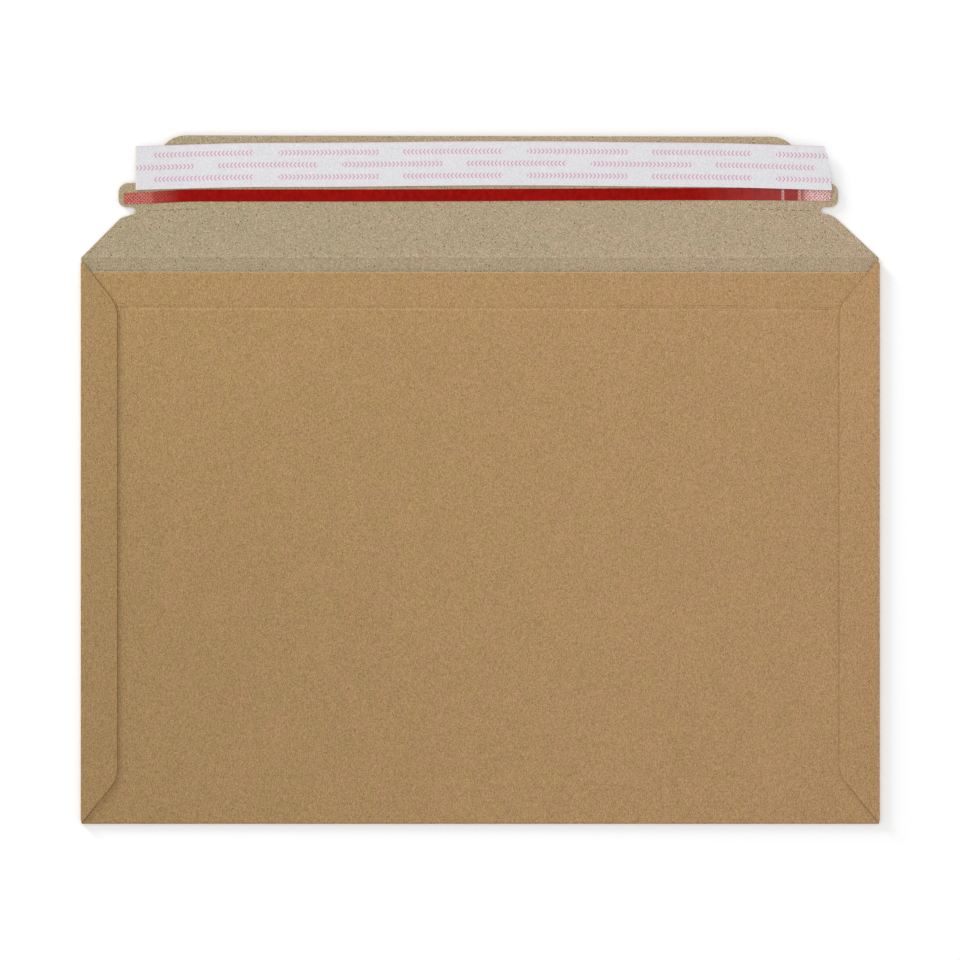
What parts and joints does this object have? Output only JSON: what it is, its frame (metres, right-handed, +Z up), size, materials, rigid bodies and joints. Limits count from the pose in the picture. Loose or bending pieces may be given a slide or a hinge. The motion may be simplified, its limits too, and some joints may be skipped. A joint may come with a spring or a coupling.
{
  "type": "cardboard pocket mailer",
  "caption": "Flat solid-board pocket mailer with glued side tabs and an open closing flap that carries tear ears, a tear tape and an adhesive stripe under a paper liner.",
  "frame": {"origin": "middle of the whole outline, at its lowest height, on the surface that the mailer lies on", "axes": "+X along the bottom fold, +Y from the bottom fold to the flap's free edge, +Z up out of the front panel"},
  "size_m": [0.352, 0.3031, 0.0026],
  "materials": {
    "kraft_board": "matte",
    "grey_board": "matte",
    "red_film": "satin",
    "adhesive": "gloss",
    "liner_paper": "satin",
    "glue": "satin"
  },
  "bodies": {
    "pocket": {"pocket_board": "kraft_board", "side_glue_left": "glue", "side_glue_right": "glue"},
    "flap": {"flap_board": "grey_board", "tear_tape": "red_film", "adhesive_strip": "adhesive", "release_liner": "liner_paper"}
  },
  "joints": [
    {"name": "flap_crease", "type": "hinge", "parent": "pocket", "child": "flap", "pos_m": [0, 0.09795, 0.0015], "axis": [1, 0, 0], "range_deg": [0, 178]}
  ]
}
